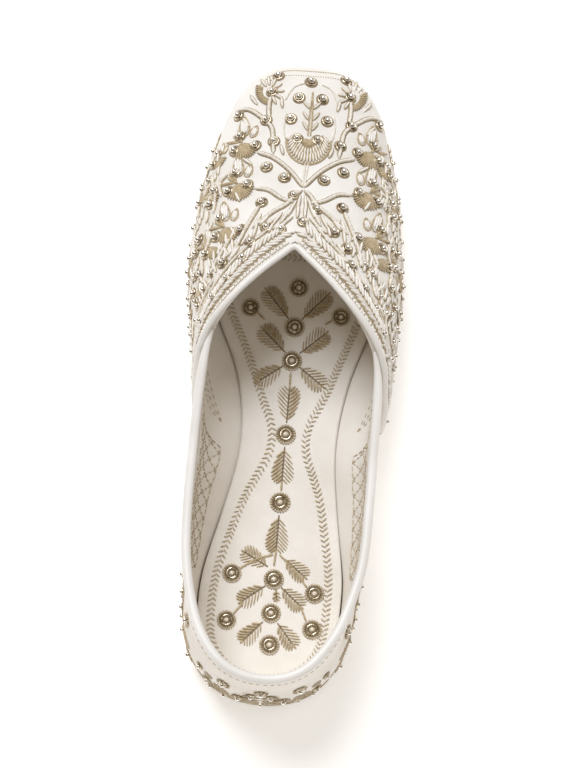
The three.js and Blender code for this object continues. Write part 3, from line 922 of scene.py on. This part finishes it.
sideChart = {
    "buds": [  # mm round the foot from its top, mm along, the way it bulges in degrees, radius
        (46, 209, 216, 4.6), (49.5, 195.5, 236, 5.2), (60.5, 189, 200, 4.4), (46.5, 166, 214, 5.6),
        (58.5, 172, 240, 4.6), (51.5, 149.5, 222, 5), (62, 152.5, 206, 4.4), (56, 134, 232, 4.8),
        (64, 136.5, 204, 4), (60.5, 118.5, 226, 4.2), (57, 203.5, 250, 4),
    ],
    "sequins": [(214, 84), (204, 80), (193, 83), (182, 80), (171, 85), (160, 81), (149, 86), (138, 82),
                (127, 87), (118, 84), (209, 93), (197, 92), (186, 93), (175, 94), (164, 92), (153, 95),
                (142, 93), (131, 96), (121, 95), (111, 92), (166, 71), (154, 70), (142, 71), (132, 73),
                (122, 74), (160, 60), (150, 58), (176, 62), (146, 66), (112, 98)],
    "sprays": [  # along, angle, and how the stem runs from there: mm along and degrees round
        (206, 64, -11, 9), (188, 66, -12, 10), (182, 76, -10, -8), (158, 66, -9, 10), (146, 66, -11, 9),
        (162, 84, -9, -7), (134, 74, -10, 9), (206, 90, -12, 3), (180, 95, -11, -4), (166, 96, -11, -5),
        (146, 97, -10, -5), (128, 95, -9, -4), (222, 84, -12, 4), (200, 60, -11, 8), (168, 59, -9, 5),
        (152, 76, -9, 6), (140, 86, -8, -6), (124, 84, -7, 6), (176, 70, -8, 7), (214, 76, -8, 6),
    ],
    "leaves": [  # along, angle, heading in degrees and length of single slender leaves
        (212, 70, 200, 5), (199, 82, 160, 5), (190, 74, 200, 5), (176, 82, 170, 5), (170, 92, 190, 5),
        (158, 76, 165, 5), (156, 90, 200, 5), (143, 78, 160, 5), (140, 96, 190, 5), (130, 80, 170, 4.6),
        (132, 92, 200, 4.6), (117, 90, 165, 4.4), (116, 80, 180, 4.4), (108, 95, 180, 4), (218, 92, 170, 4.6),
        (150, 84, 180, 4.6), (164, 66, 205, 4.6), (172, 65, 160, 4.6), (186, 60, 190, 4.6), (124, 98, 190, 4),
    ],
    "degree": 0.68,  # mm round the foot for each degree
    "margin": 12,  # mm left to the border along the rear edge
    "sprayLeaves": 6,  # pairs
    "spraySize": 3.4,
}


def spray(spot, start, run):
    # a curved stem with pairs of leaves along it
    bend = (start[0] + run[0] * 0.45 + run[1] * 0.1, start[1] + run[1] * 0.55)
    path = smoothPath([start, bend, (start[0] + run[0], start[1] + run[1])], 0.6)
    raisedCord([spot(*row) for row in path], 0.42)
    for i in range(sideChart["sprayLeaves"]):
        share = i / sideChart["sprayLeaves"]
        k = int((i + 0.6) / sideChart["sprayLeaves"] * (len(path) - 2))
        point, normal = spot(*path[k])
        tangent = (spot(*path[k + 1])[0] - point).normalized()
        length = sideChart["spraySize"] * (1.0 - 0.3 * share)
        for sign in (-1, 1):
            heading = tangent * 0.82 + normal.cross(tangent) * sign * 0.57
            # the wider tan stitch under the cream leaf is painted shade round it
            stitch("vampTanSatinAndPaintedShade", point, point + heading * (length + 0.4), normal, 1.35, 0.2)
            stitch("vampLeaves", point + heading * 0.3, point + heading * length, normal, 0.85, 0.55,
                   "bullion", 0.1)


def aroundFoot(side, angle, along):
    return wrapped(max(along, rowValue(vampEdge, angle) + sideChart["margin"]), side * angle)


def unrolled(side, across, along):
    return aroundFoot(side, across / sideChart["degree"], along)


for side in (-1, 1):
    spot, flat = onSide(aroundFoot, side), onSide(unrolled, side)
    for across, along, heading, radius in sideChart["buds"]:
        bud(flat, (across, along), heading, radius, 50)
        for lean, reach in ((-82, 0.9), (84, 0.9), (6, 0.62)):
            beadIfClear(flat(*polar((across, along), heading + 180 + lean, radius * reach)), 2.0)
    for along, angle in sideChart["sequins"]:
        if along > rowValue(vampEdge, angle) + 10:
            beadIfClear(spot(angle, along), 1.8)
    for along, angle, run, turn in sideChart["sprays"]:
        if along + run > rowValue(vampEdge, angle) + 8:
            spray(spot, (angle, along), (turn, run))
    for along, angle, heading, length in sideChart["leaves"]:
        if along > rowValue(vampEdge, angle) + 16:
            petal(flat, (angle * sideChart["degree"], along), heading, length, 1.3)
print("vamp sides done")


# --- the insole's embroidery

insoleChart = {
    "rosettes": [(0.4, 163.6, 3.9), (0, 148.2, 4.1), (0, 135.1, 4.1), (0, 106.4, 4.0), (0, 79.9, 4.1),
                 (0, 49.9, 4.0), (0, 36.7, 3.9), (0.4, 24.3, 4.0), (17.5, 153.4, 3.7), (-17.5, 154.6, 3.7),
                 (-16.3, 51.1, 3.8), (16.1, 45.4, 3.9), (-16.9, 32.8, 3.8), (16.3, 31.4, 3.9)],
    "leaves": [  # start, heading, length, width
        ((0, 110.8), 0, 14.4, 9.4), ((0, 101.6), 180, 14.4, 9.4), ((0, 75), 180, 15, 9.6),
        ((2.6, 151.4), 42, 14.6, 9), ((-2.6, 151.4), -42, 14.6, 9),
        ((2.8, 138.2), 48, 13.4, 9), ((-2.8, 138.2), -48, 13.4, 9),
        ((3, 133), 126, 12.6, 8.4), ((-3, 133), -126, 12.6, 8.4),
        ((-2.6, 54.6), -62, 11.6, 8), ((3.4, 58.2), 128, 11.4, 8),
        ((-3, 47.2), -128, 12, 8.4), ((3, 47), 130, 11.6, 8.2),
        ((-2.8, 33.2), -138, 11.6, 8), ((2.8, 33), 140, 11.8, 8),
        ((1.2, 46), 172, 4.6, 3.4),
    ],
    "stems": [  # thin links between the motifs
        [(0, 130.6), (0, 125.2)], [(0, 84.4), (0, 88)], [(0, 60.4), (-0.4, 55)],
        [(11.6, 150), (14.2, 151.8)], [(-11.8, 150.4), (-14.4, 152.6)],
        [(-1, 59.4), (-7, 57.4), (-13.6, 53)], [(1.4, 59.6), (7, 54.6), (13, 47.6)],
        [(-11, 40), (-14.4, 35.4)], [(11, 40.4), (13.8, 34.4)],
    ],
    "crossRows": [(174.4, 0.7), (176, -0.7)],  # along and lean, in front under the throat
}


def rosette(spot, radius):
    # coiled wire in rings one inside the other, a pearl in the middle, and short stitches all round; the dark
    # hoops inside and outside the coil are painted shade in the grooves between the rings
    point, normal = spot
    axes = axesAt(point, normal, Vector((0.2, 1, 0)))
    stack(point, axes, radius, (
        ("insoleThread", "bead", 0.8, 0.25, 0.05),
        ("insolePaintedShadeLines", "hoop", 0.7, 1.6, 0.2),
        ("insoleCoilRings", "coil", 0.5, 1.3, 0.35),
        ("insolePaintedShadeLines", "hoop", 0.33, 1.2, 0.4),
        ("insolePearls", "bead", 0.22, radius * 0.22, 0.5),
    ))
    for out in around(point, axes, 22):
        stitch("insoleBorder", point + out * radius * 0.74, point + out * radius, normal, 0.95)


for across, along, radius in insoleChart["rosettes"]:
    rosette(onInsole(across, along), radius)
# the dark veins of these leaves are painted shade down their middles
for start, heading, length, width in insoleChart["leaves"]:
    leaf(onInsole, start, heading, length, width, max(3, round(length / 1.7)), "insoleThread",
         "insolePaintedShadeLines", 0.3, 0.8)
for rows in insoleChart["stems"]:
    ropeOn("insoleThread", onInsole, rows, 0.4, 1.6)


def insoleEdge(height):
    # the sock's outline seen from above, as points about half a millimetre apart
    ring = []
    for side, order in ((1, range(0, 500)), (-1, range(499, -1, -1))):
        for k in order:
            centre, out = wallRay(side, k * 0.5, height)
            point = insoleTree.ray_cast(centre + out * 90, -out)[0]
            if point is not None:
                ring.append(np.array((point.x, point.y)))
    return np.array(ring)


def inset(ring, distance):
    run = np.roll(ring, -3, 0) - np.roll(ring, 3, 0)
    length = np.linalg.norm(run, axis=1)[:, None] + 1e-9
    inward = np.stack([-run[:, 1], run[:, 0]], 1) / length
    if ((ring.mean(0) - ring) * inward).sum() < 0:
        inward = -inward
    return ring + inward * distance


def spaced(ring, step):
    picked = [ring[0]]
    for point in ring:
        if np.linalg.norm(point - picked[-1]) >= step:
            picked.append(point)
    return picked


def dropOn(x, y):
    return insoleTree.ray_cast(Vector((x, y, 60)), Vector((0, 0, -1)))[:2]


insoleBorder = {"height": 1.6, "rows": (4.4, 6.0), "step": 1.55, "slant": 1.1, "width": 0.66, "longest": 6}
edgeRing = insoleEdge(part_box("insole")[0][2] / mm + insoleBorder["height"])
for rowIndex, distance in enumerate(insoleBorder["rows"]):
    track = spaced(inset(edgeRing, distance), insoleBorder["step"])
    for here, ahead in zip(track, track[1:]):
        run = (ahead - here) / (np.linalg.norm(ahead - here) + 1e-9)
        aside = np.array((-run[1], run[0])) * (1 if rowIndex else -1) * insoleBorder["slant"] * 0.8
        a, normal = dropOn(*(here - aside))
        b, _ = dropOn(*(here + aside + run * insoleBorder["slant"] * 1.1))
        if a is not None and b is not None and (a - b).length < insoleBorder["longest"]:
            stitch("insoleBorder", a, b, normal, insoleBorder["width"])
for along, lean in insoleChart["crossRows"]:
    for i in range(-9, 10):
        chartStitch("insoleBorder", onInsole, (i * 2 - 0.7, along - lean), (i * 2 + 0.7, along + lean), 0.5)
print("insole done")


# --- the lining: quilted lattice behind the waist, fanned dashes in front of it, a sprig near the heel

topline = [(0, 51), (12.5, 50), (37.5, 45), (70, 40.5), (100, 39.5), (130, 42.5), (155, 47)]
liningChart = {
    "belowTop": 3.2,  # mm from the topline down to the quilting's frame
    "frame": (2.2, 0.4, 0.5),  # dash, gap, width
    "fan": ((128, 36), (140, 32), (146, 24)),  # where the dashes from the fan's foot end
    "fanFoot": (107, 13),
    "fanDash": (1.7, 1.2, 0.4),
    "sprig": (((20, 38), 110), ((26, 33), 130)),  # height and along, heading
}
rimStitches = {"count": 69, "step": 1.9, "length": 1.2, "below": 3.0, "outsideTo": 112}


def dashLine(spot, start, end, dash, gap, width):
    a, b = np.array(start, float), np.array(end, float)
    length = np.linalg.norm(b - a)
    direction = (b - a) / (length + 1e-9)
    at = 0.0
    while at + dash * 0.6 < length:
        chartStitch("liningThread", spot, tuple(a + direction * at),
                    tuple(a + direction * min(length, at + dash)), width)
        at += dash + gap


def top(along):
    return rowValue(topline, along) - liningChart["belowTop"]


for side in (-1, 1):
    inside, outside = onSide(onLining, side), onSide(onWall, side)
    # the lattice, clipped line by line to the quilted panel
    back, low, front = quilt["back"], quilt["low"], quilt["frontAtSock"]
    slope = quilt["rise"] / quilt["run"]
    for sign in (-1, 1):
        for k in range(-6, 16):
            foot = back + k * quilt["run"]
            inRange = []
            for step in range(0, 90):
                height = low + step * 0.3
                along = foot + sign * (height - low) / slope
                if back < along < quiltFront(height) and height < top(along) - 0.5:
                    inRange.append((along, height))
            if len(inRange) > 5:
                dashLine(inside, inRange[0], inRange[-1], quilt["dash"], quilt["gap"], quilt["width"])
    for ends in (((back, low), (back - 3, top(back))), ((front, low), (quiltFront(top(104)), top(104))),
                 ((back, low), (front, low))):
        dashLine(inside, *ends, *liningChart["frame"])
    for end in liningChart["fan"]:
        dashLine(inside, liningChart["fanFoot"], end, *liningChart["fanDash"])
    for start, heading in liningChart["sprig"]:
        leaf(flipped(inside), start, heading, 9, 5, 6, "liningSprigs", "liningSprigs", 0.25, 0.7)
    # the row of stitches under the rim, inside and out
    for i in range(rimStitches["count"]):
        along = 0.4 + i * rimStitches["step"]
        height = rowValue(topline, along) - rimStitches["below"]
        for spot in (inside, outside) if along < rimStitches["outsideTo"] else (inside,):
            chartStitch("rimThread", spot, (along, height), (along + rimStitches["length"], height), 0.32,
                        0.4)
print("lining done")


# --- the quarters' embroidery, round the outside of the heel, charted as (along, height)

heelChart = {
    "flowers": [(51, 10, 2.4), (42, 9.5, 2.4), (22, 10.5, 2.9), (29, 31, 2.7), (10, 31, 2.7), (5.5, 22, 2.6),
                (13, 11, 2.2)],
    "beads": [(46, 24.5), (39.5, 22.5), (34, 20), (38.5, 14), (31, 15.5), (27.5, 20), (14, 20.5), (9, 14),
              (2.5, 28), (17.5, 26)],
    "leaves": [  # along, height, heading (0 forward, 90 up), length
        (36, 20, 12, 9.5), (35, 21, 48, 8), (36, 18, -28, 7), (33, 17, 200, 7), (31, 21, 165, 8.5),
        (34, 16, 250, 5.5), (41, 24, 60, 5.5), (40, 16, 20, 6), (28, 17, 220, 6),
        (9, 17, 28, 7), (8, 18, 62, 7), (6, 16, 8, 6), (15, 23, 100, 5), (19, 12, 30, 5.5),
        (24, 12, 330, 4.5),
        (84, 12, 4, 8), (92, 13.5, 14, 7),
    ],
    "stems": [  # along and height
        [(46, 24), (41, 22), (36, 19), (30, 17)], [(30, 17), (24, 14), (19, 10), (12, 9)],
        [(14, 20), (9, 16), (4, 13), (0, 12)],
    ],
    "backLeaves": [(12, 6), (16.5, 5.6), (21, 5.2), (25.5, 4.8)],  # height and length
    "backFlowers": [(8.5, 2.3), (33, 2.6)],  # height and radius
    "backBeads": [11, 14, 17, 20, 23, 26, 29],
}


def heelFlower(spot, radius):
    # a small coiled flower: a bead in its ring with a collar of short petals
    point, normal = spot
    sequin(spot, radius * 0.72, "heel")
    for out in around(point, axesAt(point, normal, Vector((0.1, 0.3, 1))), 10):
        stitch("heelThread", point + out * radius * 0.62, point + out * radius * 1.12, normal, 0.9, 0.5,
               "bullion", 0.1)


for side in (-1, 1):
    wall = onSide(onWall, side)
    for along, height, radius in heelChart["flowers"]:
        heelFlower(wall(along, height), radius)
    for along, height in heelChart["beads"]:
        sequin(wall(along, height), 1.7, "heel")
    for along, height, heading, length in heelChart["leaves"]:
        leaf(flipped(wall), (height, along), heading, length, length * 0.6, max(4, round(length / 1.5)),
             "heelThread", "heelUnderlay", 0.28, 0.52)
    for rows in heelChart["stems"]:
        ropeOn("heelUnderlay", wall, rows, 0.34, 1.6)
    for height, length in heelChart["backLeaves"]:
        chartStitch("heelThread", wall, (0.4, height), (length, height + 3.4), 1.1, 0.55, "bullion", 0.1)
for height, radius in heelChart["backFlowers"]:
    heelFlower(onWall(1, 0, height), radius)
backAxes = Vector((1, 0, 0)), Vector((0, 0, 1)), Vector((0, -1, 0))
for height in heelChart["backBeads"]:
    place("heelBeads", "bead", onWall(1, 0, height)[0], backAxes, (0.6, 0.6, 0.6), 0.2)
rope("heelThread", [onWall(1, 0, 10 + i * 0.6) for i in range(37)], 0.4, 2.0)
print("quarters done")


# --- every pile of stitches becomes one mesh

pileSlots = {"vamp": "vamp silk", "insole": "insole leather", "lining": "upper leather",
             "heel": "upper leather", "rim": "edge binding"}
pileFinish = {
    # the bead seats, the satin's underlay and the insole's dark lines take darker thread as painted shade;
    # the vamp's tan pile is real satin and also painted shade under the cream leaves and cords
    "vampBeads": "bead", "vampCoilRings": "gilt", "vampPaintedShadeSeats": "shade", "vampLeaves": "cream",
    "vampCords": "cord", "vampTanSatinAndPaintedShade": "tan", "vampPaintedShadeUnderlay": "shade",
    "insoleThread": "tan", "insoleBorder": "champagne", "insolePaintedShadeLines": "bronze",
    "insoleCoilRings": "gilt", "insolePearls": "pearl",
    "liningThread": "champagne", "liningSprigs": "tan", "rimThread": "champagne",
    "heelThread": "champagne", "heelUnderlay": "tan", "heelPaintedShadeSeats": "shade", "heelBeads": "bead",
    "heelCoilRings": "gilt",
}
for name, pile in piles.items():
    mesh = bpy.data.meshes.new(name)
    mesh.from_pydata((np.concatenate(pile["points"]) * mm).tolist(), [], pile["faces"])
    mesh.validate()
    mesh.materials.append(finishes[pileFinish[name]])
    obj = bpy.data.objects.new(name, mesh)
    bpy.context.collection.objects.link(obj)
    smoothShade(obj)
    slot = next(slot for part, slot in pileSlots.items() if name.startswith(part))
    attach(obj, "root")
    print("stitches", name, sum(len(face) - 2 for face in pile["faces"]))


# --- floor, light and camera

stage = {
    "floorSize": 30.0,
    "floorTone": "#F4F3F1",
    "paperGlow": 0.42,
    "world": 0.33,
    "worldTone": "#EAD8C0",
    "lampTone": "#F3F6FC",
    "key": 2.56,
    "keySpread": 32,  # degrees: how soft the shadows are
    "keyAim": (0.4, -0.95, -1.35),
    "fill": 2.6,
    "heel": 5.0,
}

bpy.ops.mesh.primitive_plane_add(size=stage["floorSize"], location=(0, 0, 0))
floor = bpy.context.object
floor.name = "studioFloor"
floor.data.materials.append(newMaterial("white studio paper", stage["floorTone"], 0.9,
                                        Emission_Color=tone("#FFFFFF"),
                                        Emission_Strength=stage["paperGlow"])[0])

world = bpy.data.worlds.new("studioAir")
bpy.context.scene.world = world
world.use_nodes = True
air = world.node_tree.nodes["Background"]
air.inputs["Color"].default_value = tone(stage["worldTone"])
air.inputs["Strength"].default_value = stage["world"]


def addLamp(kind, name, energy, aimed, **settings):
    light = bpy.data.lights.new(name, kind)
    light.energy = energy
    light.color = tone(stage["lampTone"])[:3]
    for key, value in settings.items():
        setattr(light, key, value)
    lamp = bpy.data.objects.new(name, light)
    bpy.context.collection.objects.link(lamp)
    lamp.rotation_euler = aimed.to_track_quat("-Z", "Y").to_euler()
    return lamp


def addSoftbox(name, energy, place, target, width, height):
    lamp = addLamp("AREA", name, energy, Vector(target) - Vector(place), shape="RECTANGLE", size=width,
                   size_y=height)
    lamp.location = place


# the key comes from far off, so that the paper is as bright at its far end
addLamp("SUN", "keySky", stage["key"], Vector(stage["keyAim"]), angle=math.radians(stage["keySpread"]))
addSoftbox("fillSoftbox", stage["fill"], (1.0, 0.35, 1.2), (0, 0, 0.02), 0.8, 0.8)
addSoftbox("heelSoftbox", stage["heel"], (0.1, -1.5, 0.38), (0, -0.1, 0.03), 1.4, 0.2)

turn = math.radians(view["turn"])
right = Vector((1, 0, 0))
cameraRight = right * math.cos(turn) + lookUp * math.sin(turn)
cameraUp = lookUp * math.cos(turn) - right * math.sin(turn)
camera = bpy.data.objects.new("camera", bpy.data.cameras.new("camera"))
bpy.context.collection.objects.link(camera)
camera.data.lens = view["lens"]
camera.data.sensor_width = 36
camera.data.clip_start = 0.05
at = (eye + cameraUp * view["drop"]) * mm
camera.matrix_world = Matrix.Translation(at) @ Matrix((cameraRight, cameraUp, lookBack)).transposed().to_4x4()
bpy.context.scene.camera = camera

bpy.context.scene.view_settings.view_transform = "Standard"
bpy.context.scene.view_settings.look = "None"

print("all done")
